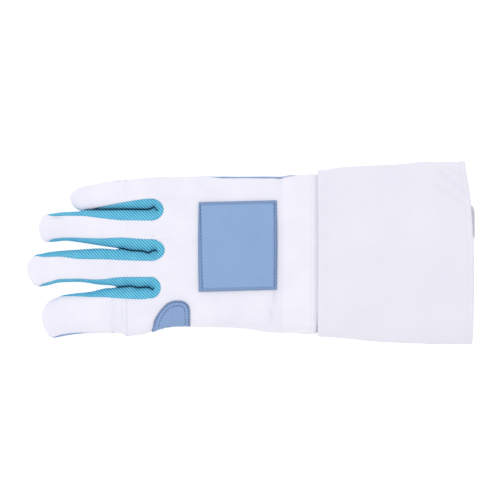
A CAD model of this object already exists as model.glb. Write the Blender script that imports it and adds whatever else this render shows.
import math

import bmesh
import bpy
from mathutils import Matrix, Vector, noise
from mathutils.kdtree import KDTree


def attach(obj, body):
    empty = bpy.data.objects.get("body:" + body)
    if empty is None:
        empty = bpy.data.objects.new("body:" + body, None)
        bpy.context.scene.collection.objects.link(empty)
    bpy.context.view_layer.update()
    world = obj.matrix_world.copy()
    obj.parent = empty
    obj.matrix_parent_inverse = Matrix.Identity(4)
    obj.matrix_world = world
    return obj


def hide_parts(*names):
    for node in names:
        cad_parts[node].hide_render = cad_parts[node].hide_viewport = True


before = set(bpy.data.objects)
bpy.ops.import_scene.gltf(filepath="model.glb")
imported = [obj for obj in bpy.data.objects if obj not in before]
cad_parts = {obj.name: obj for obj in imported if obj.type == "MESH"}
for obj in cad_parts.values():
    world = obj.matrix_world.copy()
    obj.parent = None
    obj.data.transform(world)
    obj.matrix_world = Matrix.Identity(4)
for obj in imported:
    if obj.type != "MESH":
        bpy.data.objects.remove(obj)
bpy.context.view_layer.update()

# A right-hand fencing glove, palm down. Lengths are millimetres until a mesh is placed, and x is counted
# from the wrist seam towards the cuff, y from the glove's middle line towards the little finger.
MM = 0.001
# From there to the frame's origin, on the floor under the glove's middle
SHIFT = Vector((25.063, 0.027, 0.25))

# Named lengths of the glove, as its solids have them
PALM_LENGTH = 91.7
WRIST_LENGTH = 27
CUFF_LENGTH = 119.3
CUFF_OVERLAP = 10
HAND_WIDTH = 118.7
THUMB_WIDTH = 27.5
THUMB_LENGTH = 88
THUMB_TIP = 11
THUMB_HEEL_X = -27
CUFF_FRONT_WIDTH = 126.8
CUFF_MOUTH_WIDTH = 140.5
PALM_RISE = 14.5
HAND_TOP = 34
CUFF_FRONT_DEPTH = 36
CUFF_MOUTH_DEPTH = 38
LIP = 9.25
RIM_REACH = 9.25
PALM_LIP = 4
PALM_RIM_REACH = 6.9
RIM_DROP_FADE = 14
SEAM_LIFT = 0.25
BACK_WALL = 2.4
PALM_WALL = 1.4
GUSSET_WALL = 1
THUMB_WALL = 1.2
SLEEVE_WALL = 1.3
CUFF_WALL = 1.8
SLEEVE_INSET = 2.84
RIM_X = -PALM_LENGTH
KNUCKLE_X = RIM_X - RIM_REACH
CUFF_X = WRIST_LENGTH

# How full a section is: 2 is an ellipse, more is squarer
FINGER_FULLNESS = 2.7
HAND_FULLNESS = 3.2
THUMB_FULLNESS = 4
CUFF_FULLNESS = 2.5
SEAM_HEIGHT = 0.45
FLATNESS = 1.07
RIM_ANGLE = math.radians(65)
# A fingertip's slant fades out over this many times its rounding
TILT_REACH = 3

# The back's edge is turned over each gusset, and the cuts between the fingers end at their own depths
TURNED_EDGE = 0.85
CUT_REACHES = (9.7, 10.6, 7.5)
FOLD_REACHES = (4.4, 3.9, 1.6)
# The lines over the hand run straight from the cuts until here
HOLD_X = RIM_X + 1.5

# How the fingers' lines run on over the hand: how soon the index finger's side has met the hand's, the turn
# round the hand at which the first line lies, on the back and on the palm, and the part of the hand at its
# index side that is kept for the lines that come after each line
INWARD_FADE = 8
FIRST_TURN = {True: 0.35, False: 0.2}
SIDE_PART = 0.3

# Grid lines of the fine meshes, and how strongly they crowd towards the ends or, over the hand, the fingers
TIP_ROWS = 9
FINGER_ROWS = 44
HAND_ROWS = 52
STRIP_COLS = 16
RIM_COLS = 22
STRIP_CROWDING = 0.8
HAND_CROWDING = 1.6
PATCH_CROWDING = 0.5
CUFF_CROWDING = 0.45
# Metres within which points are merged, and edges count as none
MERGE_WITHIN = 0.00002
SLIVER = 0.00001


def table(columns, *rows):
    """A short table as a list of rows by column name."""
    return [dict(zip(columns.split(), row)) for row in rows]


# Each finger in plan. At each share of its length from the tip: where its sides lie, as shares of the hand's
# width, and how far the back is cut away at them, as shares of the lip. Its tip is rounded over "tip", and
# "tilt" is how much further one side reaches, and the share of its width that stays where it is.
PLAN = "at left right lip_left lip_right"
FINGERS = [
    {"name": "pinky", "length": 73.4, "tip": 9.3, "tilt": (3.4, 0.85), "plan": table(
        PLAN,
        (0, 0.41, 0.27, 0, 0), (0.13, 0.425, 0.27, 0, 0), (0.22, 0.437, 0.276, 0, 0.1),
        (0.43, 0.463, 0.281, 0, 0.4), (0.64, 0.4725, 0.282, 0, 0.72), (0.87, 0.487, 0.282, 0, 0.94),
        (1, 0.487, 0.282, 0, 0.94))},
    {"name": "ring", "length": 96.6, "tip": 7, "tilt": (1, 0.3), "plan": table(
        PLAN,
        (0, 0.243, 0.065, 0, 0), (0.055, 0.25, 0.067, 0.06, 0.05), (0.12, 0.258, 0.069, 0.32, 0.33),
        (0.21, 0.267, 0.076, 0.4, 0.32), (0.33, 0.27, 0.065, 0.45, 0.45),
        (0.49, 0.274, 0.045, 0.7, 0.67), (0.68, 0.275, 0.023, 0.92, 1.03),
        (0.9, 0.275, 0.006, 0.96, 1.12), (1, 0.275, 0.006, 0.96, 1.12))},
    {"name": "middle", "length": 105.8, "tip": 10, "tilt": (2.2, 0.5), "plan": table(
        PLAN,
        (0, -0.02, -0.221, 0, 0), (0.05, -0.015, -0.221, 0.12, 0), (0.11, -0.005, -0.22, 0.36, 0.28),
        (0.16, 0.005, -0.212, 0.5, 0.32), (0.24, 0.0135, -0.196, 0.58, 0.35),
        (0.38, 0.022, -0.192, 0.88, 0.34),
        (0.53, 0.0295, -0.209, 1.0, 0.5), (0.7, 0.0165, -0.2175, 0.92, 0.84),
        (0.9, -0.001, -0.222, 0.75, 0.92), (1, -0.001, -0.222, 0.75, 0.92))},
    {"name": "index", "length": 93.4, "tip": 9, "tilt": (3.4, 0.3), "plan": table(
        PLAN,
        (0, -0.325, -0.558, 0, 0), (0.08, -0.31, -0.556, 0, 0.08), (0.13, -0.292, -0.549, 0.1, 0.17),
        (0.17, -0.276, -0.543, 0.22, 0.17), (0.26, -0.264, -0.532, 0.36, 0.14),
        (0.39, -0.253, -0.522, 0.54, 0.03),
        (0.55, -0.228, -0.526, 0.89, 0), (0.7, -0.229, -0.539, 0.98, 0), (0.83, -0.23, -0.529, 1, 0),
        (0.9, -0.231, -0.51, 0.9, 0), (1, -0.231, -0.5, 0.9, 0))},
]
# Heights as shares of the palm's rise and the hand's top: along a finger from its tip, and along the hand
DROOP = table(
    "at low top", (0, 0, 0.38), (0.17, 0, 0.41), (0.45, 0.22, 0.57), (0.75, 0.68, 0.78), (1, 0.93, 0.91))
HAND = table(
    "at left right lip_left low top",
    (-0.1, 0.487, -0.5, 0, 0.93, 0.91), (0.02, 0.488, -0.4795, 0, 0.98, 0.94),
    (0.12, 0.49, -0.4725, 0, 0.99, 0.953), (0.2, 0.492, -0.473, 0, 1, 0.963),
    (0.26, 0.4925, -0.481, 0, 1, 0.971), (0.38, 0.493, -0.4815, 0.02, 1, 0.985),
    (0.5, 0.493, -0.4825, 0.15, 0.95, 1), (0.68, 0.494, -0.4915, 0.17, 0.75, 1),
    (0.83, 0.494, -0.5095, 0.17, 0.53, 0.99), (1, 0.494, -0.519, 0.17, 0.34, 0.98))
# The cuff: how far it has widened along its length, and how much of its length its mouth is cut back, from
# the index side, -1, to the little finger's side, 1, over and under the hand
FLARE = table(
    "at flare", (0, 0), (0.08, 0.15), (0.2, 0.38), (0.53, 0.78), (0.79, 0.94), (1, 1))
MOUTH = table(
    "at over under", (-1, 0.0033, 0.0033), (-0.5, 0, 0.004), (0.1, 0.001, 0.003), (0.17, 0.007, -0.0265),
    (0.42, 0.017, -0.0265), (0.5, 0.019, -0.018), (0.57, 0.021, 0.022), (1, 0.05, 0.05))
# The thumb from its tip: its middle line as a share of the hand's width, its half width as a share of the
# thumb's, and its underside as a share of the palm's rise
THUMB = table(
    "at centre half low", (0, -0.2, 0.42, 0.06), (0.15, -0.21, 0.45, 0), (0.4, -0.26, 0.48, 0),
    (0.6, -0.3, 0.5, 0), (0.8, -0.3, 0.48, 0.06), (0.92, -0.29, 0.4, 0.26), (1, -0.28, 0.28, 0.5))


def clamp(value, low=0.0, high=1.0):
    return max(low, min(high, value))


def lerp(a, b, share):
    return a + (b - a) * share


def smooth(share):
    share = clamp(share)
    return share * share * (3 - 2 * share)


def power(value, exponent):
    """A power that keeps the value's sign."""
    return math.copysign(abs(value) ** exponent, value)


def bell(distance, width):
    return math.exp(-((distance / width) ** 2))


def crowded(k, count, crowding):
    """A share from 0 to 1, in steps that are smaller towards both ends."""
    return lerp(k / count, (1 - math.cos(math.pi * k / count)) / 2, crowding)


def read(rows, column, at):
    """A table's column between its rows, on a smooth line that never overshoots them."""
    last = len(rows) - 1
    if at <= rows[0]["at"]:
        return rows[0][column]
    if at >= rows[last]["at"]:
        return rows[last][column]
    i = next(k for k in range(1, last + 1) if rows[k]["at"] > at) - 1

    def slope(k):
        return (rows[k + 1][column] - rows[k][column]) / (rows[k + 1]["at"] - rows[k]["at"])

    def lean(k):
        if k in (0, last) or slope(k - 1) * slope(k) <= 0:
            return 0
        return 2 * slope(k - 1) * slope(k) / (slope(k - 1) + slope(k))

    span = rows[i + 1]["at"] - rows[i]["at"]
    s = (at - rows[i]["at"]) / span
    rise = rows[i + 1][column] - rows[i][column]
    bend = span * s * (1 - s) * (lean(i) * (1 - s) - lean(i + 1) * s)
    return rows[i][column] + rise * s * s * (3 - 2 * s) + bend


# Sections: loops from side to side, with their angle 0 at the little finger's side and a quarter turn on top
def section(x, left, right, low, top, fullness, flatness=1.0):
    mid = lerp(low, top, SEAM_HEIGHT)
    return {"x": x, "left": left, "right": right, "low": low, "mid": mid, "top": top,
            "fullness": fullness, "flatness": flatness}


def loop_point(s, angle):
    cos, sin = math.cos(angle), math.sin(angle)
    y = (s["left"] + s["right"]) / 2 + (s["left"] - s["right"]) / 2 * power(cos, 2 / s["fullness"])
    lift = power(sin, 2 / s["fullness"])
    if lift >= 0:
        return Vector((s["x"], y, s["mid"] + (s["top"] - s["mid"]) * lift))
    return Vector((s["x"], y, s["mid"] + (s["mid"] - s["low"]) * max(lift * s["flatness"], -1)))


def angle_over(s, y):
    share = (2 * y - s["left"] - s["right"]) / (s["left"] - s["right"])
    return math.acos(power(clamp(share, -1, 1), s["fullness"] / 2))


def tip_share(along, radius):
    return math.sqrt(max(1 - (1 - clamp(along / radius)) ** 2, 0))


def rim_along(finger):
    """How far a finger runs from its tip before its sides turn round the cuts."""
    return finger["length"] - RIM_REACH


def full_section(finger, along):
    """A finger's section as if its tip weren't rounded."""
    at = along / finger["length"]
    droop = along / rim_along(finger)
    return section(
        RIM_X - finger["length"] + along,
        read(finger["plan"], "left", at) * HAND_WIDTH,
        read(finger["plan"], "right", at) * HAND_WIDTH,
        read(DROOP, "low", droop) * PALM_RISE,
        read(DROOP, "top", droop) * HAND_TOP,
        FINGER_FULLNESS)


def finger_section(finger, along):
    s = full_section(finger, along)
    share = tip_share(along, finger["tip"])
    centre = (s["left"] + s["right"]) / 2
    for side, middle in (("left", centre), ("right", centre), ("low", s["mid"]), ("top", s["mid"])):
        s[side] = lerp(middle, s[side], share)
    return s


def hand_section(x):
    at = (x - RIM_X) / PALM_LENGTH
    return section(
        x,
        read(HAND, "left", at) * HAND_WIDTH,
        read(HAND, "right", at) * HAND_WIDTH,
        read(HAND, "low", at) * PALM_RISE,
        read(HAND, "top", at) * HAND_TOP,
        HAND_FULLNESS)


def cuff_section(x):
    at = (x - CUFF_X) / CUFF_LENGTH
    half = lerp(CUFF_FRONT_WIDTH, CUFF_MOUTH_WIDTH, read(FLARE, "flare", at)) / 2
    depth = lerp(CUFF_FRONT_DEPTH, CUFF_MOUTH_DEPTH, clamp(at))
    return section(x, half, -half, -SEAM_LIFT, depth, CUFF_FULLNESS, FLATNESS)


def sleeve_section(x):
    hand, cuff = hand_section(0), cuff_section(max(x, CUFF_X))
    share = smooth(x / CUFF_X)
    inset = {"left": -SLEEVE_INSET, "right": SLEEVE_INSET, "low": SLEEVE_INSET, "top": -SLEEVE_INSET}
    mixed = {key: lerp(hand[key], cuff[key] + inset.get(key, 0), share) for key in hand}
    return {**mixed, "x": x}


# The comb shape that the back and the palm share
def seam_angle(finger, along, side, is_back):
    s = full_section(finger, along)
    gusseted = finger is not (FINGERS[0] if side == "left" else FINGERS[3])
    cut_away = read(finger["plan"], "lip_" + side, along / finger["length"]) * LIP
    back_lip = max(cut_away - TURNED_EDGE * gusseted, 0)
    bare = clamp((along - finger["tip"]) / finger["tip"])
    lip = back_lip if is_back or not gusseted else PALM_LIP * smooth(bare)
    angle = angle_over(s, s["left"] - lip if side == "left" else s["right"] + lip)
    return angle if is_back or not gusseted else -angle


def tilted(finger, along, point):
    """A finger's tip is not quite square to it, so one of its sides reaches further."""
    s = full_section(finger, along)
    side = (point.y - s["right"]) / (s["left"] - s["right"])
    tilt, pivot = finger["tilt"]
    point.x -= tilt * (side - pivot) * (1 - smooth(along / (TILT_REACH * finger["tip"])))
    return point


def finger_point(finger, along, across, is_back):
    left = seam_angle(finger, along, "left", is_back)
    right = seam_angle(finger, along, "right", is_back)
    if not is_back and right > 0:
        right -= 2 * math.pi
    return tilted(finger, along, loop_point(finger_section(finger, along), lerp(left, right, across)))


# Each column line of the comb: which finger or cut it belongs to, and its share across that
COLUMNS = []
for number in range(4):
    COLUMNS += [("finger", number, crowded(k, STRIP_COLS, STRIP_CROWDING)) for k in range(STRIP_COLS)]
    COLUMNS += [("cut", number, k / RIM_COLS) for k in range(RIM_COLS if number < 3 else 0)]
COLUMNS.append(("finger", 3, 1.0))
KNUCKLE_ROW = TIP_ROWS + FINGER_ROWS
COMB_ROWS = KNUCKLE_ROW + HAND_ROWS
# How wide a finger and a cut count when the columns are spaced over the hand
FINGER_SHARES, CUT_SHARES = 5, 6
COMB_SHARES = 4 * FINGER_SHARES + 3 * CUT_SHARES
# The panels end just short of the wrist seam
WRIST_SEAM = -0.02


def rim_point(cut, share, is_back):
    """A place on the round end of the cut between two fingers."""
    before, after = FINGERS[cut], FINGERS[cut + 1]
    start = finger_point(before, rim_along(before), 1, is_back)
    end = finger_point(after, rim_along(after), 0, is_back)
    turn = share * math.pi
    reach = CUT_REACHES[cut] if is_back else PALM_RIM_REACH
    return Vector((
        KNUCKLE_X + reach * math.sin(turn),
        lerp(start.y, end.y, (1 - math.cos(turn)) / 2),
        lerp(start.z, end.z, share)))


def front_point(column, is_back):
    """Where a column's line comes onto the hand."""
    kind, number, share = column
    if kind == "cut":
        return rim_point(number, share, is_back)
    return finger_point(FINGERS[number], rim_along(FINGERS[number]), share, is_back)


def comb_share(column):
    """Where a column lies across the hand, from 0 at the little finger's side to 1."""
    kind, number, share = column
    within = share * FINGER_SHARES if kind == "finger" else FINGER_SHARES + share * CUT_SHARES
    return (number * (FINGER_SHARES + CUT_SHARES) + within) / COMB_SHARES


def hand_sides(x, is_back):
    """The hand's section, the panel's edge at the little finger's side, and the glove's other side.
    The palm's edge lies above the widest place, so it is counted on past that."""
    here = hand_section(x)
    lip = read(HAND, "lip_left", (x - RIM_X) / PALM_LENGTH) * LIP
    return here, here["left"] - lip if is_back else here["left"] + lip, here["right"]


def hand_on(here, y, is_back):
    """The place on a section of the hand that lies at y."""
    past = 2 * here["left"] - y if y > here["left"] else y
    angle = angle_over(here, past) * (-1 if y > here["left"] else 1)
    return loop_point(here, angle if is_back else -angle)


COLUMN_STARTS = {}


def column_start(column, is_back):
    """Where a column's line leaves the fingers, and its share across the hand past the rims."""
    key = (column, is_back)
    if key not in COLUMN_STARTS:
        kind, number, share = column
        front = front_point(column, is_back)
        first, front_left, front_right = hand_sides(front.x, is_back)
        hold_left = 1 - share if (kind, number) == ("finger", 0) else 0
        hold_right = share if (kind, number) == ("finger", 3) else 0
        _, rim_left, rim_right = hand_sides(HOLD_X, is_back)
        # The index finger is a little wider than the hand behind it.
        index_side = full_section(FINGERS[3], rim_along(FINGERS[3]))["right"]
        inward = hold_right * (front_right - index_side)
        inner = front.y + inward
        y = inner + hold_left * (rim_left - front_left) + hold_right * (rim_right - front_right)
        drop = hand_on(first, inner, is_back).z - front.z if comb_share(column) > 0 else 0
        COLUMN_STARTS[key] = {
            "front": front, "drop": drop, "inward": inward,
            "begun": min((rim_left - y) / (rim_left - rim_right), 1 - SIDE_PART * (1 - comb_share(column))),
            "left": (hold_left, front_left), "right": (hold_right, front_right)}
    return COLUMN_STARTS[key]


def hand_at(column, x, is_back):
    """Where a column's line lies at x: straight past the rims, then drawn towards its even share."""
    start = column_start(column, is_back)
    here, left, right = hand_sides(x, is_back)
    if x <= HOLD_X:
        y = start["front"].y + start["inward"]
        y += start["left"][0] * (left - start["left"][1]) + start["right"][0] * (right - start["right"][1])
    else:
        turn = lerp(FIRST_TURN[is_back], math.pi, comb_share(column))
        even = (1 - math.cos(turn)) / 2
        first = (1 - math.cos(FIRST_TURN[is_back])) / 2
        even = (even - first) / (1 - first)
        drift = smooth((x - HOLD_X) / (WRIST_SEAM - HOLD_X))
        y = lerp(left, right, lerp(start["begun"], even, drift))
    point = hand_on(here, y, is_back)
    point.z -= start["drop"] * (1 - smooth((x - HOLD_X) / RIM_DROP_FADE))
    point.y -= start["inward"] * (1 - smooth((x - start["front"].x) / INWARD_FADE))
    return point


def hand_point(column, share, is_back):
    return hand_at(column, lerp(column_start(column, is_back)["front"].x, WRIST_SEAM, share), is_back)


def along_rows(row, tip_rows, tip, rows, end):
    """How far a grid row lies from a tip: the first rows crowd on its rounding, the others are even."""
    if row <= tip_rows:
        return tip * (1 - math.cos(row / tip_rows * math.pi / 2))
    return lerp(tip, end, (row - tip_rows) / rows)


def along_finger(finger, row):
    return along_rows(row, TIP_ROWS, finger["tip"], FINGER_ROWS, rim_along(finger))


def comb_point(i, j, is_back):
    """A grid point of the back or the palm, in the rows of the fingers and then those of the hand."""
    column = COLUMNS[j]
    if i >= KNUCKLE_ROW:
        point = hand_point(column, ((i - KNUCKLE_ROW) / HAND_ROWS) ** HAND_CROWDING, is_back)
    else:
        number, share = column[1], column[2]
        if column[0] == "cut":
            share = 1.0
        point = finger_point(FINGERS[number], along_finger(FINGERS[number], i), share, is_back)
    point.z += SEAM_LIFT if is_back else -SEAM_LIFT
    return point


# Cloth pieces: a grid that is laid over a shape, pushed in or out along its normals and given its wall
def grid_of(rows, cols, place):
    return [[place(i, j) for j in range(cols + 1)] for i in range(rows + 1)]


def grid_normal(points, i, j, wraps):
    rows, cols = len(points) - 1, len(points[0]) - 1
    before = points[i][j - 1] if j > 0 else points[i][cols - 1] if wraps else points[i][0]
    after = points[i][j + 1] if j < cols else points[i][1] if wraps else points[i][cols]
    over = after - before
    down = points[min(i + 1, rows)][j] - points[max(i - 1, 0)][j]
    return over.cross(down).normalized()


def lay(name, points, wall, relief=None, keep=None, wraps=False, turned=False, material=None,
        replaces=(), shade=None):
    """Lays a grid of cloth through the points, with its wall behind it. The relief is how far each place is
    pushed out, keep says which cells stay, and the shade is how dark a place shows, from 0 to 1."""
    flat = points
    rows, cols = len(points) - 1, len(points[0]) - 1
    sign = -1 if turned else 1
    if relief:
        points = [[
            points[i][j] + grid_normal(points, i, j, wraps) * sign * relief(i, j, points[i][j])
            for j in range(cols + 1)] for i in range(rows + 1)]
    bm = bmesh.new()
    bmesh.ops.create_grid(bm, x_segments=rows, y_segments=cols, size=0.5)
    weave = bm.loops.layers.uv.new("weave")
    mark = bm.loops.layers.uv.new("mark")
    runs = [[0.0] * (cols + 1) for _ in range(rows + 1)]
    arcs = [[0.0] * (cols + 1) for _ in range(rows + 1)]
    for i in range(rows + 1):
        for j in range(cols + 1):
            runs[i][j] = runs[i - 1][j] + (points[i][j] - points[i - 1][j]).length if i else 0.0
            arcs[i][j] = arcs[i][j - 1] + (points[i][j] - points[i][j - 1]).length if j else 0.0
        half = arcs[i][cols] / 2
        arcs[i] = [arc - half for arc in arcs[i]]
    cells = {v: (round((v.co.x + 0.5) * rows), round((v.co.y + 0.5) * cols)) for v in bm.verts}
    for face in bm.faces:
        face.smooth = True
        for loop in face.loops:
            i, j = cells[loop.vert]
            loop[weave].uv = (runs[i][j] * MM, arcs[i][j] * MM)
            loop[mark].uv = (shade(i, j, flat[i][j]) if shade else 0, 0)
    if keep:
        gone = [f for f in bm.faces
                if not keep(min(cells[v][0] for v in f.verts), min(cells[v][1] for v in f.verts))]
        bmesh.ops.delete(bm, geom=gone, context="FACES")
    for v in bm.verts:
        i, j = cells[v]
        v.co = (points[i][j] + SHIFT) * MM
    bmesh.ops.remove_doubles(bm, verts=bm.verts, dist=MERGE_WITHIN)
    bmesh.ops.dissolve_degenerate(bm, edges=bm.edges, dist=SLIVER)
    if not turned:
        bmesh.ops.reverse_faces(bm, faces=bm.faces)
    for edge in bm.edges:
        edge.smooth = not edge.is_boundary
    return finish_piece(name, bm, wall, material, replaces)


def finish_piece(name, bm, wall=0, material=None, replaces=()):
    """Makes a piece of a built mesh, and declares what it rides on and the solids it covers."""
    mesh = bpy.data.meshes.new(name)
    bm.to_mesh(mesh)
    bm.free()
    piece = bpy.data.objects.new(name, mesh)
    bpy.context.scene.collection.objects.link(piece)
    if wall:
        shell = piece.modifiers.new("wall", "SOLIDIFY")
        shell.thickness = wall * MM
        shell.offset = -1
    if material:
        mesh.materials.append(material)
    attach(piece, "root")
    if replaces:
        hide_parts(*replaces)
    return piece


def near_line(points):
    """How far a point is from a line of points, seen from above."""
    tree = KDTree(len(points))
    for k, p in enumerate(points):
        tree.insert((p.x, p.y, 0), k)
    tree.balance()
    return lambda p: tree.find((p.x, p.y, 0))[2]


def dense(points, step=0.25):
    out = []
    for a, b in zip(points, points[1:]):
        count = max(1, math.ceil((b - a).length / step))
        out += [a.lerp(b, k / count) for k in range(count)]
    return out + [points[-1]]


# Shader maths
class Wire:
    """A socket in a material, with arithmetic that adds Math nodes."""

    def __init__(self, tree, socket):
        self.tree, self.socket = tree, socket

    def node(self, kind, out=0, settings=None, **inputs):
        made = self.tree.nodes.new(kind)
        for key, value in (settings or {}).items():
            setattr(made, key, value)
        for key, value in inputs.items():
            key = key.replace("_", " ")
            target = made.inputs[int(key[1:])] if key[0] == "n" and key[1:].isdigit() else made.inputs[key]
            if isinstance(value, Wire):
                self.tree.links.new(value.socket, target)
            else:
                target.default_value = value
        return Wire(self.tree, made.outputs[out])

    def math(self, operation, *values):
        return self.node("ShaderNodeMath", settings={"operation": operation},
                         **{f"n{k}": value for k, value in enumerate(values)})

    def __add__(self, other):
        return self.math("ADD", self, other)

    __radd__ = __add__

    def __mul__(self, other):
        return self.math("MULTIPLY", self, other)

    __rmul__ = __mul__

    def __sub__(self, other):
        return self.math("SUBTRACT", self, other)

    def __rsub__(self, other):
        return self.math("SUBTRACT", other, self)

    def sin(self):
        return self.math("SINE", self)

    def clamp(self):
        return self.math("MINIMUM", self.math("MAXIMUM", self, 0), 1)


def srgb(r, g, b):
    """A colour as it shows, from 0 to 255, in the renderer's own values."""
    return tuple((v / 255 / 12.92) if v <= 10 else ((v / 255 + 0.055) / 1.055) ** 2.4 for v in (r, g, b))


def finish_material(name, build, light, dark, shadow=(0.3, 0.3, 0.42), **recipe):
    """A finish in two near colours, mixed towards its shadow where the piece is marked dark."""
    material = bpy.data.materials.new(name)
    material.use_nodes = True
    tree = material.node_tree
    shader = next(n for n in tree.nodes if n.type == "BSDF_PRINCIPLED")
    start = Wire(tree, None)
    varying = build(start, srgb(*light), srgb(*dark), **recipe)
    mark = start.node("ShaderNodeUVMap", settings={"uv_map": "mark"})
    darkness = start.node("ShaderNodeSeparateXYZ", Vector=mark).clamp()
    varying["Base_Color"] = mixed(start, darkness, varying["Base_Color"], shadow)
    for key, wire in varying.items():
        tree.links.new(wire.socket, shader.inputs[key.replace("_", " ")])
    return material


def mixed(start, share, first, second):
    """Two colours mixed by a share."""
    node = start.tree.nodes.new("ShaderNodeMix")
    node.data_type = "RGBA"
    for socket, value in ((node.inputs[0], share), (node.inputs[6], first), (node.inputs[7], second)):
        if isinstance(value, Wire):
            start.tree.links.new(value.socket, socket)
        else:
            socket.default_value = (*value, 1)
    return Wire(start.tree, node.outputs[2])


def napped(start, light, dark, fleck, push):
    """Brushed cloth: a fine nap, soft mottling, and a faint bump."""
    place = start.node("ShaderNodeTexCoord", out="Object")
    nap = start.node("ShaderNodeTexNoise", Vector=place, Scale=fleck, Detail=3.0, Roughness=0.6)
    cloud = start.node("ShaderNodeTexNoise", Vector=place, Scale=38.0, Detail=2.0)
    tone = (nap * 0.55 + cloud * 0.45 - 0.36) * 3.2
    return {
        "Base_Color": mixed(start, tone.clamp(), dark, light),
        "Roughness": nap * 0.12 + 0.82,
        "Normal": start.node("ShaderNodeBump", Height=nap, Strength=push, Distance=0.0004),
    }


# Metres from one thread, rib or pit to the next
THREAD_PITCH = 0.00085
RIB_PITCH = 0.0025
PIT_PITCH = 0.0017


def weave_lines(start):
    """How far a place is down its piece and across it, in metres along the cloth."""
    along = start.node("ShaderNodeUVMap", settings={"uv_map": "weave"})
    run = start.node("ShaderNodeSeparateXYZ", Vector=along)
    return run, start.node("ShaderNodeSeparateXYZ", out=1, Vector=along)


def repeat(line, pitch):
    return (line * (2 * math.pi / pitch)).sin()


def woven(start, light, dark):
    """Plain woven cloth: threads over and under along the piece's own run."""
    run, arc = weave_lines(start)
    warp, weft = repeat(run, THREAD_PITCH), repeat(arc, THREAD_PITCH)
    threads = warp * weft * 0.5 + 0.5
    place = start.node("ShaderNodeTexCoord", out="Object")
    cloud = start.node("ShaderNodeTexNoise", Vector=place, Scale=26.0, Detail=3.0)
    slub = start.node("ShaderNodeTexNoise", Vector=place, Scale=900.0, Detail=2.0)
    tone = (threads * 0.25 + cloud * 0.45 + slub * 0.3 - 0.3) * 2.6
    return {
        "Base_Color": mixed(start, tone.clamp(), dark, light),
        "Roughness": threads * 0.1 + 0.84,
        "Normal": start.node("ShaderNodeBump", Height=threads + slub * 0.5, Strength=0.35, Distance=0.00018),
    }


def ribbed_mesh(start, light, dark):
    """Knitted mesh: slanting ribs, with small open pits between them."""
    run, arc = weave_lines(start)
    place = start.node("ShaderNodeTexCoord", out="Object")
    x = start.node("ShaderNodeSeparateXYZ", Vector=place)
    y = start.node("ShaderNodeSeparateXYZ", out=1, Vector=place)
    rib = repeat(x + y, RIB_PITCH)
    pit = repeat(run, PIT_PITCH) * repeat(arc, PIT_PITCH)
    height = rib * 0.34 + pit * 0.1 + 0.5
    cloud = start.node("ShaderNodeTexNoise", Vector=place, Scale=140.0, Detail=3.0)
    tone = height * 1.1 + cloud * 0.3 - 0.2
    return {
        "Base_Color": mixed(start, tone.clamp(), dark, light),
        "Roughness": 0.9 - height * 0.2,
        "Normal": start.node("ShaderNodeBump", Height=height, Strength=0.6, Distance=0.0003),
    }


def grained(start, light, dark):
    """Soft leather: a pebbled grain with darker hollows."""
    place = start.node("ShaderNodeTexCoord", out="Object")
    grain = start.node("ShaderNodeTexVoronoi", Vector=place, Scale=1150.0)
    fine = start.node("ShaderNodeTexNoise", Vector=place, Scale=520.0, Detail=4.0, Roughness=0.6)
    cloud = start.node("ShaderNodeTexNoise", Vector=place, Scale=45.0, Detail=2.0)
    tone = fine * 0.5 + grain * 0.35 + cloud * 0.6 - 0.25
    height = grain * 0.6 + fine * 0.6
    return {
        "Base_Color": mixed(start, tone.clamp(), dark, light),
        "Roughness": fine * 0.2 + 0.5,
        "Normal": start.node("ShaderNodeBump", Height=height, Strength=0.35, Distance=0.00025),
    }


PATCH_SHADOW = (0.07, 0.11, 0.22)
white_cloth = finish_material(
    "white_microfibre", napped, (236, 235, 245), (226, 225, 238), fleck=1500.0, push=0.35)
wrist_cloth = finish_material(
    "wrist_microfibre", napped, (240, 238, 247), (231, 229, 240), (0.16, 0.26, 0.5), fleck=1300.0, push=0.4)
cuff_cloth = finish_material("cuff_weave", woven, (233, 231, 241), (224, 222, 234))
cyan_mesh = finish_material(
    "cyan_ribbed_mesh", ribbed_mesh, (124, 216, 240), (4, 124, 174), (0.001, 0.045, 0.11))
palm_leather = finish_material(
    "blue_palm_leather", grained, (140, 168, 212), (112, 140, 188), (0.08, 0.12, 0.24))
patch_leather = finish_material(
    "blue_patch_leather", grained, (140, 172, 214), (125, 157, 202), PATCH_SHADOW)
web_leather = finish_material("blue_web_leather", grained, (139, 167, 207), (117, 145, 190), PATCH_SHADOW)
blue_thread = finish_material("blue_thread", napped, (88, 112, 160), (66, 90, 140), fleck=2500.0, push=0.3)

# Each seam of a panel with a gusset, from one fingertip round the cut to the next
back_grid = grid_of(COMB_ROWS, len(COLUMNS) - 1, lambda i, j: comb_point(i, j, True))
palm_grid = grid_of(COMB_ROWS, len(COLUMNS) - 1, lambda i, j: comb_point(i, j, False))
CUT_STARTS = [STRIP_COLS + k * (STRIP_COLS + RIM_COLS) for k in range(3)]


def seam_lines(grid):
    lines = []
    for start in CUT_STARTS:
        rows = range(TIP_ROWS + 1, KNUCKLE_ROW + 1)
        # The line down the finger before a cut lies at the cut's own first column.
        down = [grid[i][start] for i in rows]
        rim = [grid[KNUCKLE_ROW][start + k] for k in range(1, RIM_COLS)]
        up = [grid[i][start + RIM_COLS] for i in reversed(rows)]
        lines.append(down + rim + up)
    return lines


back_seams = seam_lines(back_grid)
from_back_seam = near_line([p for line in back_seams for p in dense(line)])

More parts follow.
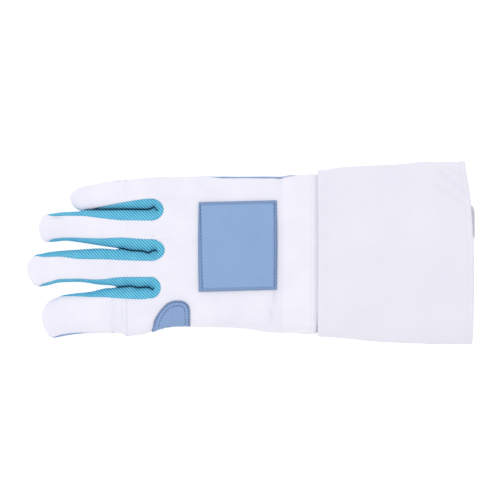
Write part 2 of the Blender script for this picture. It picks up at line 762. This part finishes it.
# Creases over the finger joints, from the index finger, 3, to the little finger, 0: where each lies, how deep
# and wide it is, and how dark it shows
CREASE = "x depth width dark"
CREASES = {
    3: table(CREASE, (-130.3, 0.5, 2.2, 0.08), (-127.5, 0.3, 0.6, 0.08), (-123.9, 0.5, 0.6, 0.2),
             (-119.9, 0.35, 0.6, 0.13)),
    2: table(CREASE, (-141, 0.25, 2.5, 0.01), (-121.5, 0.3, 0.8, 0.08), (-118, 0.25, 0.6, 0.07)),
    1: table(CREASE, (-128, 0.3, 1.6, 0.02), (-123.8, 0.35, 0.6, 0.12), (-119.8, 0.3, 0.6, 0.1)),
    0: table(CREASE, (-127.5, 0.3, 2.2, 0.02), (-121, 0.25, 0.9, 0.03)),
}


# How far in each edge starts to turn down, and how deep it goes
BACK_ROLL = (2.2, 0.7)
PALM_ROLL = (1.6, 0.5)
PATCH_ROLL = (0.9, 0.7)
CUFF_FRONT_ROLL = (1.2, 0.8)
CUFF_MOUTH_ROLL = (0.9, 0.6)


def roll(distance, width, depth):
    """How far an edge is turned down, that far in from it."""
    return -depth * (1 - math.sqrt(1 - (1 - clamp(distance / width)) ** 2))


def off_segment(p, a, b):
    """How far a place in plan is from the straight line between two others."""
    line = b - a
    share = clamp((p - a).dot(line) / line.length_squared)
    return (p - a - line * share).length


def wave(p, scale, seed):
    """Soft swells about that many millimetres long."""
    return noise.noise(Vector((p.x / scale, p.y / scale, seed)))


# The slack in each piece's cloth: how high its swells stand, how long they are, and which noise they take
SLACK = {
    "finger": [(0.16, 7, 0)],
    "hand": [(0.3, 21, 0), (0.14, 8, 0)],
    "palm": [(0.2, 16, 5)],
    "gusset": [(0.12, 5, 2)],
    "hand_patch": [(0.16, 11, 8)],
    "web_patch": [(0.1, 6, 4)],
    "wrist": [(0.25, 17, 6)],
    "cuff": [(0.45, 48, 1), (0.2, 17, 2)],
}


def slack(p, piece):
    return sum(height * wave(p, scale, seed) for height, scale, seed in SLACK[piece])


# Folds of the hand near the wrist: both ends in plan, how deep and wide each is, and how dark it shows
FOLDS = table(
    "start end depth width dark",
    (Vector((-5.4, -29)), Vector((-9.8, -54)), 1.0, 1.4, 0.12),
    (Vector((-4, 57)), Vector((-4.6, 42)), 0.8, 1.1, 0.1),
    (Vector((-1.5, -40)), Vector((-3.4, -56)), 0.5, 1.2, 0.03))
# The welt: how far in from the index side it lies, where it starts, how deep it is and how dark it shows
WELT = 3.6
WELT_START = -73
WELT_DEPTH = 0.18
WELT_DARK = 0.035


def crease_share(p, crease, number):
    return bell(p.x - crease["x"] - 0.5 * wave(p, 9, number), crease["width"])


def fold_share(p, fold):
    return bell(off_segment(Vector((p.x, p.y)), fold["start"], fold["end"]), fold["width"])


def wrist_gather(p):
    """The wrist seam draws the cloth in with small puckers."""
    pucker = wave(Vector((p.x * 0.3, p.y + 0.6 * p.z, 0)), 3.4, 3.0)
    return -(0.3 + 0.45 * pucker) * bell(p.x, 5)


def welt_share(p, side):
    """A welt runs along the index side, from the rounded patch to the cuff."""
    return smooth((p.x - WELT_START) / 5) * bell(p.y - side - WELT, 0.9) * smooth((p.z - 8) / 3)


# How far the index finger is drawn in, and from where to where
TUCK_DEPTH = 1.7
TUCK_START, TUCK_END = -142, -122.8


def knuckle_tuck(j, p):
    """The index finger's outer side is drawn in as far as its joint's crease."""
    if COLUMNS[j][1] != 3:
        return 0
    outer = smooth((COLUMNS[j][2] - 0.7) / 0.3)
    return -TUCK_DEPTH * outer * smooth((p.x - TUCK_START) / 19) * (1 - smooth((p.x - TUCK_END) / 1.8))


# The rounded patch over the index side: where its upper edge lies, along its length
WEB_START, WEB_END = -100.3, -70.9
WEB = table("at edge", (0, -58.6), (0.07, -51.5), (0.16, -46.9), (0.26, -42.8), (0.36, -39.8), (0.48, -37.6),
            (0.62, -36.6), (0.77, -36.7), (0.88, -38), (0.95, -40), (0.985, -42.2), (1, -44.6))


def back_relief(i, j, p):
    push = roll(from_back_seam(p), *BACK_ROLL)
    number = COLUMNS[j][1]
    if i < KNUCKLE_ROW:
        for crease in CREASES[number]:
            push -= crease["depth"] * crease_share(p, crease, number)
        return push + knuckle_tuck(j, p) + slack(p, "finger")
    for fold in FOLDS:
        push -= fold["depth"] * fold_share(p, fold)
    welt = WELT_DEPTH * welt_share(p, hand_section(p.x)["right"])
    return push + slack(p, "hand") + wrist_gather(p) - welt


def back_shade(i, j, p):
    number = COLUMNS[j][1]
    if i < KNUCKLE_ROW:
        return sum(crease["dark"] * crease_share(p, crease, number) for crease in CREASES[number])
    dark = sum(fold["dark"] * fold_share(p, fold) for fold in FOLDS)
    return dark + WELT_DARK * welt_share(p, hand_section(p.x)["right"])


def comb_keep(i, j):
    """The cuts between the fingers are left open."""
    return i >= KNUCKLE_ROW or COLUMNS[j][0] == "finger"


# The thumb, and the hole of the palm over it
def underside(x, y):
    """How high the palm lies over the thumb."""
    if x >= KNUCKLE_X:
        s = hand_section(x)
        return loop_point(s, -angle_over(s, y)).z
    return read(DROOP, "low", (x - RIM_X + FINGERS[3]["length"]) / rim_along(FINGERS[3])) * PALM_RISE


# The thumb's grid lines, those of the lid on it, and how far its top lies under the palm
THUMB_TIP_ROWS = 10
THUMB_ROWS = 56
THUMB_COLS = 44
LID_ROWS, LID_COLS = 34, 8
TOP_GAP = 0.5


def thumb_place(i, j):
    """A place on the thumb: on its trough from side to side, and then on the lid, which ends where the thumb
    opens into the palm."""
    along = along_rows(i, THUMB_TIP_ROWS, THUMB_TIP, THUMB_ROWS - THUMB_TIP_ROWS, THUMB_LENGTH)
    at = along / THUMB_LENGTH
    x = THUMB_HEEL_X - THUMB_LENGTH + along
    centre = read(THUMB, "centre", at) * HAND_WIDTH
    half = read(THUMB, "half", at) * THUMB_WIDTH
    low = read(THUMB, "low", at) * PALM_RISE - SEAM_LIFT
    share = tip_share(along, THUMB_TIP)
    trough = 2 * math.pi - 2 * (math.pi / 2 - RIM_ANGLE)
    lid = max(j - THUMB_COLS, 0) / LID_COLS * (2 * math.pi - trough)
    angle = math.pi - RIM_ANGLE + min(j, THUMB_COLS) / THUMB_COLS * trough + lid
    y = centre + half * share * power(math.cos(angle), 2 / THUMB_FULLNESS)
    top = underside(x, y) - SEAM_LIFT - TOP_GAP
    mid = lerp(low, top, SEAM_HEIGHT)
    lift = share * power(math.sin(angle), 2 / THUMB_FULLNESS)
    return Vector((x, y, mid + (top - mid) * lift if lift >= 0 else mid + (mid - low) * lift))


# The palm's opening into the thumb: its ends, its half width, and a place and the lean of its middle line
OPENING_START, OPENING_END = -63, -37
OPENING_HALF = 9
OPENING_X, OPENING_Y = -46, -35.4
OPENING_LEAN = -1.2 / 17


def in_thumb_opening(p):
    middle = OPENING_Y + OPENING_LEAN * (p.x - OPENING_X)
    return OPENING_START < p.x < OPENING_END and abs(p.y - middle) < OPENING_HALF


def palm_keep(i, j):
    if not comb_keep(i, j):
        return False
    return i < KNUCKLE_ROW or not in_thumb_opening(palm_grid[i][j].lerp(palm_grid[i + 1][j + 1], 0.5))


from_palm_seam = near_line([p for line in seam_lines(palm_grid) for p in dense(line)])


def palm_shade(i, j, p):
    return (0.65 if i < KNUCKLE_ROW else 0.3) * bell(from_palm_seam(p), 2.5)


def palm_relief(i, j, p):
    push = roll(from_palm_seam(p), *PALM_ROLL) + slack(p, "palm") * smooth((p.z - 1) / 4)
    return push + (knuckle_tuck(j, p) if i < KNUCKLE_ROW else 0)


back = lay("back_cloth", back_grid, BACK_WALL, back_relief, comb_keep, material=white_cloth,
           replaces=("back_panel",), shade=back_shade)
palm = lay("palm_leather", palm_grid, PALM_WALL, palm_relief, palm_keep, turned=True, material=palm_leather,
           replaces=("palm_panel",), shade=palm_shade)
thumb = lay("thumb_leather", grid_of(THUMB_ROWS, THUMB_COLS + LID_COLS, thumb_place), THUMB_WALL,
            keep=lambda i, j: j < THUMB_COLS or i < LID_ROWS, wraps=True, material=palm_leather,
            replaces=("thumb",))

# Gussets: each runs a few rows on into the fingertips, and a hair past both of its seams
GUSSET_COLS = 32
GUSSET_TIP_ROWS = 6
GUSSET_ROWS = 2 * (FINGER_ROWS + GUSSET_TIP_ROWS) + RIM_COLS
PAST_SEAM = 0.004
MESH_WALL = GUSSET_WALL - 0.2


def side_point(finger, along, side, across):
    """A place on a finger's side, between the back's edge, 0, and the palm's, 1."""
    back_angle = seam_angle(finger, along, side, True)
    palm_angle = seam_angle(finger, along, side, False)
    if side == "right" and palm_angle < 0:
        palm_angle += 2 * math.pi
    angle = lerp(back_angle, palm_angle, across)
    return tilted(finger, along, loop_point(finger_section(finger, along), angle))


def gusset_place(cut, i, across):
    """A place on a gusset: down one finger, round the cut and up the next."""
    before, after = FINGERS[cut], FINGERS[cut + 1]
    rim = i - FINGER_ROWS
    if rim <= 0:
        return side_point(before, along_finger(before, TIP_ROWS + i), "right", across)
    if rim >= RIM_COLS:
        row = TIP_ROWS + 2 * FINGER_ROWS + RIM_COLS - i
        return side_point(after, along_finger(after, row), "left", across)
    along = rim_along(before)
    start = side_point(before, along, "right", across)
    end = side_point(after, rim_along(after), "left", across)
    seam = side_point(before, along, "right", 0 if across < 0.5 else 1)
    edge = full_section(before, along)["right"]
    inward = clamp((start.y - seam.y) / (edge - seam.y))
    reach = lerp(CUT_REACHES[cut] if across < 0.5 else PALM_RIM_REACH, FOLD_REACHES[cut], inward)
    turn = rim / RIM_COLS * math.pi
    return Vector((
        KNUCKLE_X + reach * math.sin(turn),
        lerp(start.y, end.y, (1 - math.cos(turn)) / 2),
        lerp(start.z, end.z, rim / RIM_COLS)))


# Where the two sides of each gusset touch, from where they meet to the cut's end
MEETINGS = [
    table("at y", (-157, 33.6), (-144.4, 33.2), (-120, 33.4), (-104.4, 33.3), (-101, 34), (-98.6, 35.2),
          (-97.3, 33.6), (-96.4, 32.6)),
    table("at y", (-129.5, 4), (-125.2, 3.5), (-113.6, 1.5), (-108.4, 1.4), (-101.8, -0.4), (-100.6, 1.4),
          (-97.4, 1.9)),
    table("at y", (-131.5, -26.4), (-128.2, -26.4), (-116.9, -25.6), (-111, -26.8), (-104.1, -26.3),
          (-101.6, -26.9), (-99.9, -28.2)),
]
# How far from the meeting line the mesh is filled out, how much of that at least is mesh, and how far it laps
# over the line
BULGE = 3.4
LEAST_MESH = 0.5
LAP = 0.6
# The angle by which a gusset's ripples along its seams run on from row to row
RIPPLE = 1.9


def finger_side(finger, x, side):
    """Where a finger's side lies at x."""
    return full_section(finger, min(x - RIM_X + finger["length"], rim_along(finger)))[side]


def meeting(cut, x):
    """The meeting line's place across the glove, and how nearly the two sides touch there, from 0 to 1."""
    rows = MEETINGS[cut]
    closing = smooth((x - rows[0]["at"]) / 6) * (1 - smooth((x - rows[-1]["at"]) / 1.2))
    return read(rows, "y", x), closing


def gusset_fold(cut, i, across):
    """A place on a gusset, with its two sides filled out until they touch."""
    point = gusset_place(cut, i, across)
    line, closing = meeting(cut, point.x)
    if closing == 0:
        return point
    rim = i - FINGER_ROWS
    sign = 1 if rim < RIM_COLS / 2 else -1
    if rim <= 0:
        edge = finger_side(FINGERS[cut], point.x, "right")
    elif rim >= RIM_COLS:
        edge = finger_side(FINGERS[cut + 1], point.x, "left")
    else:
        edge = gusset_place(cut, i, 0.5).y
    gap, off = min(sign * (edge - line), BULGE - LEAST_MESH), sign * (point.y - line)
    if off < BULGE:
        filled = lerp(-LAP, BULGE, clamp((off - gap) / (BULGE - gap)))
        point.y = line + sign * lerp(off, filled, closing)
    return point


def gusset_relief(i, j, p):
    share = j / GUSSET_COLS
    seam = min(share, 1 - share)
    pucker = 0.12 * math.sin(i * RIPPLE) * bell(seam, 0.08) + slack(p, "gusset")
    return -0.2 - 0.6 * bell(seam, 0.06) + pucker * (1 - bell(seam - 0.5, 0.15))


for cut, name in enumerate(("pinky_ring", "ring_middle", "middle_index")):
    def meeting_shade(i, j, p, cut=cut):
        line, closing = meeting(cut, p.x)
        deep = 0.22 * bell(p.y - line - 1, 2.2) if p.y > line else 0.1 * bell(p.y - line, 2)
        return (0.97 * bell(p.y - line, 0.55) + deep) * closing

    points = grid_of(GUSSET_ROWS, GUSSET_COLS, lambda i, j: gusset_fold(
        cut, i - GUSSET_TIP_ROWS, lerp(-PAST_SEAM, 1 + PAST_SEAM, j / GUSSET_COLS)))
    lay(f"gusset_{name}_mesh", points, MESH_WALL, gusset_relief, material=cyan_mesh,
                       replaces=(f"gusset_{name}",), shade=meeting_shade)

# The square patch: its ends and its sides in plan, how wide its folded and stitched border is at the front,
# where it widens towards the index side, at the back and at both sides, and how far its ends bow out
PATCH_FRONT, PATCH_BACK = -64.3, -4.6
PATCH_LEFT, PATCH_RIGHT = (38.65, 40.2), (-29.9, -28.3)
PATCH_WIDTH = 68.5
FRONT_BORDER = (1.3, 2.9)
BACK_BORDER = 1.9
SIDE_BORDER = 2
PATCH_BOW = 0.5
PATCH_LIFT = 1.9
PATCH_WALL = 1.5
PATCH_CELLS = 72


def patch_sides(a):
    return lerp(*PATCH_LEFT, a), lerp(*PATCH_RIGHT, a)


def on_patch(a, b, lift=0.0):
    """A place on the patch, from its front to its back and from the little finger's side across."""
    x = lerp(PATCH_FRONT, PATCH_BACK, a)
    x += PATCH_BOW * math.sin(math.pi * b) * (1 if a > 0.5 else -1) * abs(2 * a - 1)
    s = hand_section(x)
    point = loop_point(s, angle_over(s, lerp(*patch_sides(a), b)))
    point.z += SEAM_LIFT + PATCH_LIFT + lift
    return point


def patch_place(i, j):
    return on_patch(crowded(i, PATCH_CELLS, PATCH_CROWDING), crowded(j, PATCH_CELLS, PATCH_CROWDING))


def patch_edges(p):
    """How far in a place is from each side of the patch, and how wide that side's folded border is."""
    a = clamp((p.x - PATCH_FRONT) / (PATCH_BACK - PATCH_FRONT))
    left, right = patch_sides(a)
    slant = clamp((left - p.y) / (left - right))
    return ((p.x - PATCH_FRONT, lerp(*FRONT_BORDER, slant)), (PATCH_BACK - p.x, BACK_BORDER),
            (left - p.y, SIDE_BORDER), (p.y - right, SIDE_BORDER))


def patch_edge(p):
    return max(min(off for off, _ in patch_edges(p)), 0)


def patch_border(p):
    """How far in a place is from the stitched line round the border; less than 0 is on the border."""
    return min(off - border for off, border in patch_edges(p))


def patch_relief(i, j, p):
    past = patch_border(p)
    return (roll(patch_edge(p), *PATCH_ROLL) + 0.2 * smooth(-past / 0.8) - 0.4 * bell(past, 0.45)
            + slack(p, "hand_patch"))


def patch_shade(i, j, p):
    past = patch_border(p)
    return (0.22 * smooth((0.2 - past) / 0.4) + 0.25 * bell(patch_edge(p), 0.6) + 0.3 * bell(past, 0.45)
            + 0.06)


patch = lay("hand_patch_leather", grid_of(PATCH_CELLS, PATCH_CELLS, patch_place), PATCH_WALL, patch_relief,
            material=patch_leather, replaces=("hand_patch",), shade=patch_shade)

# The rounded patch's mesh, how far round the index side it goes down, which is less at its front, and its
# height over the back's cloth, which falls towards the seam below it
WEB_CELLS = 44
WEB_DOWN = 0.985
WEB_DOWN_LESS = 0.06
WEB_WALL = 1.1
WEB_LIFT = 1.45
WEB_FALL = 0.65
SEARCH_STEPS = 24
SEARCH_END = 0.9999


def index_back(x, across):
    """A place on the back of the index finger, and on the hand behind it."""
    if x <= KNUCKLE_X:
        return finger_point(FINGERS[3], rim_along(FINGERS[3]) + x - KNUCKLE_X, across, True)
    return hand_at(("finger", 3, across), x, True)


def web_place(i, j):
    """A place on the rounded patch. Its upper edge is found by halving the strip that holds it."""
    at = crowded(i, WEB_CELLS, PATCH_CROWDING)
    x = lerp(WEB_START, WEB_END, at)
    edge = read(WEB, "edge", at)
    near, far = 0.0, SEARCH_END
    for _ in range(SEARCH_STEPS):
        middle = (near + far) / 2
        near, far = (middle, far) if index_back(x, middle).y > edge else (near, middle)
    down = WEB_DOWN - WEB_DOWN_LESS * bell(x - WEB_START, 4)
    point = index_back(x, lerp(near, down, crowded(j, WEB_CELLS, PATCH_CROWDING)))
    return point + Vector((0, 0, SEAM_LIFT))


web_grid = grid_of(WEB_CELLS, WEB_CELLS, web_place)
web_outline = dense([row[0] for row in web_grid] + web_grid[-1][1:])
from_web_edge = near_line(web_outline)
# Its two rows of stitches, in from its edge
WEB_ROWS_IN = (1.3, 3.9)


def web_relief(i, j, p):
    edge = from_web_edge(p)
    rows = sum(0.35 * bell(edge - inset, 0.4) for inset in WEB_ROWS_IN)
    lift = WEB_LIFT - WEB_FALL * smooth((j / WEB_CELLS - 0.45) / 0.5)
    return lift + roll(edge, *PATCH_ROLL) - rows + slack(p, "web_patch")


def web_shade(i, j, p):
    edge = from_web_edge(p)
    rows = sum(0.12 * bell(edge - inset, 0.45) for inset in WEB_ROWS_IN)
    return 0.6 * smooth((0.9 - edge) / 0.5) + rows


web = lay("web_patch_leather", web_grid, WEB_WALL, web_relief, material=web_leather,
          replaces=("web_patch",), shade=web_shade)

# The gathered wrist, with a sewn line round it, and the cuff, with a hem at its mouth
RING_COLS = 168
SLEEVE_ROWS = 44
SLEEVE_LINE = 21.9
CUFF_ROWS = 96
MOUTH_HEM = 4.2
# How far in from a side the cloth there is fuller
SLEEVE_SIDE = 12
CUFF_SIDE = 9


def ring_angle(j):
    return (j % RING_COLS) / RING_COLS * 2 * math.pi


def sleeve_place(i, j):
    return loop_point(sleeve_section(lerp(0, WRIST_LENGTH + CUFF_OVERLAP, i / SLEEVE_ROWS)), ring_angle(j))


def near_side(p, s, side, width):
    """How near a place is to a section's left or right side: 1 is at the side."""
    return smooth(1 - abs(p.y - s[side]) / width)


def sleeve_relief(i, j, p):
    s = sleeve_section(p.x)
    along = smooth((p.x - 5) / 14) * (1 - smooth((p.x - 25.2) / 3.2))
    bulge = 2.1 * near_side(p, s, "right", SLEEVE_SIDE) * along
    bulge += 0.9 * near_side(p, s, "left", SLEEVE_SIDE) * bell(p.x - 5, 7)
    shown = smooth((CUFF_X - 0.5 - p.x) / 4)
    above = smooth((p.z - 10) / 6)
    line = 0.25 * bell(p.x - SLEEVE_LINE, 0.45)
    rest = (slack(p, "wrist") + 0.1 * smooth(p.x / 8)) * shown - line
    rest += 0.2 * above * bell(p.x, 3) - WELT_DEPTH * welt_share(p, s["right"]) - 0.4 * (1 - shown)
    return wrist_gather(p) + rest + bulge


def sleeve_shade(i, j, p):
    """The sewn line, the cuff's shadow, the welt, and the blue of the palm that shows on as a thin wedge."""
    s = sleeve_section(p.x)
    lines = 0.05 * bell(p.x - SLEEVE_LINE, 0.5) + 0.1 * bell(p.x - CUFF_X, 2.2)
    wedge = 0.9 * bell(p.y - s["left"], 1.5 - 0.08 * p.x) * (1 - smooth((p.x - 6) / 8))
    return lines + wedge + WELT_DARK * welt_share(p, s["right"])


sleeve = lay("wrist_cloth", grid_of(SLEEVE_ROWS, RING_COLS, sleeve_place), SLEEVE_WALL, sleeve_relief,
             wraps=True, material=wrist_cloth, replaces=("wrist_band",),
             shade=sleeve_shade)


def cuff_reach(angle):
    """How long the cuff is at an angle round it."""
    across = power(math.cos(angle), 2 / CUFF_FULLNESS)
    cut_back = read(MOUTH, "over" if math.sin(angle) >= 0 else "under", across)
    return CUFF_LENGTH * (1 - cut_back)


def cuff_place(i, j):
    angle = ring_angle(j)
    at = crowded(i, CUFF_ROWS, CUFF_CROWDING)
    return loop_point(cuff_section(CUFF_X + cuff_reach(angle) * at), angle)


# Folds in the cuff's corner
CUFF_FOLDS = table(
    "start end depth width dark",
    (Vector((121, 62)), Vector((140, 46)), 0.45, 1.6, 0.06),
    (Vector((126, 66)), Vector((143, 55)), 0.35, 1.2, 0.06),
    (Vector((118, 52)), Vector((137, 38)), 0.22, 1.8, 0.06))

# How much fuller than its section the cuff lies at its two sides, along its length
CUFF_SIDES = table(
    "at left right", (28, -0.2, 0.85), (42, 0.2, 0.6), (52, 0.1, 0.25), (62, -0.2, 0.7), (82, -0.8, 0.8),
    (95, -0.5, 0.8), (108, 0.6, 0.6), (116, 0.2, 0.8), (127, 0, 0.2))


def above_side(p):
    """The folds are only in the cuff's upper side."""
    return smooth((p.z - 20) / 6)


def cuff_relief(i, j, p):
    s = cuff_section(p.x)
    fuller = sum(read(CUFF_SIDES, side, p.x) * near_side(p, s, side, CUFF_SIDE) for side in ("left", "right"))
    front = p.x - CUFF_X
    mouth = cuff_reach(ring_angle(j)) - front
    lying = smooth((p.z - 0.5) / 5)
    hem = 0.5 * bell(front - 2.6, 3.2)
    turn = roll(front, *CUFF_FRONT_ROLL) + roll(mouth, *CUFF_MOUTH_ROLL)
    mouth_hem = 0.25 * smooth((MOUTH_HEM + 0.2 - mouth) / 0.8) - 0.15 * bell(mouth - MOUTH_HEM, 0.45)
    folds = sum(fold["depth"] * fold_share(p, fold) for fold in CUFF_FOLDS) * above_side(p)
    return lying * (hem + mouth_hem + slack(p, "cuff") + fuller - folds) + turn


def cuff_shade(i, j, p):
    mouth = cuff_reach(ring_angle(j)) - p.x + CUFF_X
    folds = sum(fold["dark"] * fold_share(p, fold) for fold in CUFF_FOLDS) * above_side(p)
    return 0.04 * bell(mouth - MOUTH_HEM, 0.5) + folds


cuff = lay("cuff_cloth", grid_of(CUFF_ROWS, RING_COLS, cuff_place), CUFF_WALL, cuff_relief, wraps=True,
           material=cuff_cloth, replaces=("cuff",), shade=cuff_shade)


# Stitches: small rounded strands laid along a line, each on the surface below it
def stitches(name, lines, pitch, length, width, material):
    """Every so many millimetres of each line, one stitch of that length and width."""
    bm = bmesh.new()
    half = (length / 2 * MM, width / 2 * MM, width * 0.4 * MM)
    for line in lines:
        points = dense(line, 0.2)
        run, ends = 0.0, [0.0]
        for a, b in zip(points, points[1:]):
            run += (b - a).length
            ends.append(run)
        count = max(int(run / pitch), 1)
        at = 0
        for k in range(count):
            middle = (k + 0.5) * run / count
            while ends[at + 1] < middle and at < len(points) - 2:
                at += 1
            way = (points[min(at + 2, len(points) - 1)] - points[max(at - 1, 0)]).normalized()
            turn = way.to_track_quat("X", "Z").to_matrix().to_4x4()
            turn.translation = (points[at] + SHIFT) * MM
            made = bmesh.ops.create_uvsphere(bm, u_segments=6, v_segments=5, radius=1)
            for v in made["verts"]:
                v.co = turn @ Vector((v.co.x * half[0], v.co.y * half[1], v.co.z * half[2]))
    for face in bm.faces:
        face.smooth = True
    return finish_piece(name, bm, material=material)


LINE_STEPS = 60
SUNK = -0.2


def patch_lines():
    """The stitched lines at the patch's front and back, along the inside of its border."""
    length = PATCH_BACK - PATCH_FRONT
    side = SIDE_BORDER / PATCH_WIDTH
    front = [border / length for border in FRONT_BORDER]
    back_line = [1 - BACK_BORDER / length] * 2
    shares = [k / LINE_STEPS for k in range(LINE_STEPS + 1)]
    return [[on_patch(lerp(*ends, share), lerp(side, 1 - side, share), SUNK) for share in shares]
            for ends in (front, back_line)]


patch_thread = stitches("patch_stitches", patch_lines(), pitch=2.8, length=2, width=0.8,
                        material=blue_thread)

# The rounded patch's rows of stitches keep their distance towards a place inside it. They leave out the start
# of its outline, below at its front, and follow every few of its points.
WEB_CENTRE = Vector((-84, -58, 0))
OUTLINE_START, OUTLINE_STEP = 14, 6


def web_line(inset):
    """A line that far in from the rounded patch's edge, round its cut sides."""
    line = []
    spots = [p for row in web_grid for p in row]
    for edge in web_outline[OUTLINE_START::OUTLINE_STEP]:
        way = WEB_CENTRE - Vector((edge.x, edge.y, 0))
        goal = edge + way.normalized() * inset * 1.08
        near = min(spots, key=lambda p: (p.x - goal.x) ** 2 + (p.y - goal.y) ** 2)
        if from_web_edge(goal) > inset * 0.9:
            line.append(Vector((goal.x, goal.y, near.z + 1.2)))
    return line


web_thread = stitches("web_stitches", [web_line(inset) for inset in WEB_ROWS_IN], pitch=2.2, length=1.6,
                      width=0.95, material=blue_thread)

# The floor, the light and the camera
floor_mesh = bpy.data.meshes.new("floor")
floor_bm = bmesh.new()
bmesh.ops.create_grid(floor_bm, x_segments=1, y_segments=1, size=3)
floor_bm.to_mesh(floor_mesh)
floor_bm.free()
floor = bpy.data.objects.new("floor", floor_mesh)
bpy.context.scene.collection.objects.link(floor)
floor_material = bpy.data.materials.new("pale_floor")
floor_material.use_nodes = True
floor_shader = floor_material.node_tree.nodes["Principled BSDF"]
floor_shader.inputs["Base Color"].default_value = (0.3, 0.3, 0.3, 1)
floor_shader.inputs["Roughness"].default_value = 1
floor_shader.inputs["Specular IOR Level"].default_value = 0
floor_shader.inputs["Emission Color"].default_value = (1, 1, 1, 1)
floor_shader.inputs["Emission Strength"].default_value = 0.86
floor_mesh.materials.append(floor_material)

world = bpy.data.worlds.new("studio")
world.use_nodes = True
world.node_tree.nodes["Background"].inputs["Color"].default_value = (1, 1, 1, 1)
world.node_tree.nodes["Background"].inputs["Strength"].default_value = 0.93
bpy.context.scene.world = world


def soft_light(name, place, size, watts):
    light = bpy.data.lights.new(name, "AREA")
    light.energy = watts
    light.size = size
    lamp = bpy.data.objects.new(name, light)
    lamp.location = place
    lamp.rotation_euler = (Vector((0, 0, 0)) - Vector(place)).to_track_quat("-Z", "Y").to_euler()
    bpy.context.scene.collection.objects.link(lamp)


soft_light("overhead", (-0.45, 0.3, 1.5), size=0.5, watts=4.5)

# The camera looks straight down and sees this width, in metres, at half the glove's height
CAMERA_HEIGHT = 2.6
SEEN_WIDTH = 0.385
HALF_HEIGHT = 0.018
SENSOR = 36
bpy.context.scene.view_settings.view_transform = "Standard"
camera = bpy.data.cameras.new("camera")
camera.sensor_width = SENSOR
camera.lens = SENSOR * (CAMERA_HEIGHT - HALF_HEIGHT) / SEEN_WIDTH
camera.clip_end = 20
eye = bpy.data.objects.new("camera", camera)
eye.location = (0, 0.0021, CAMERA_HEIGHT)
bpy.context.scene.collection.objects.link(eye)
bpy.context.scene.camera = eye
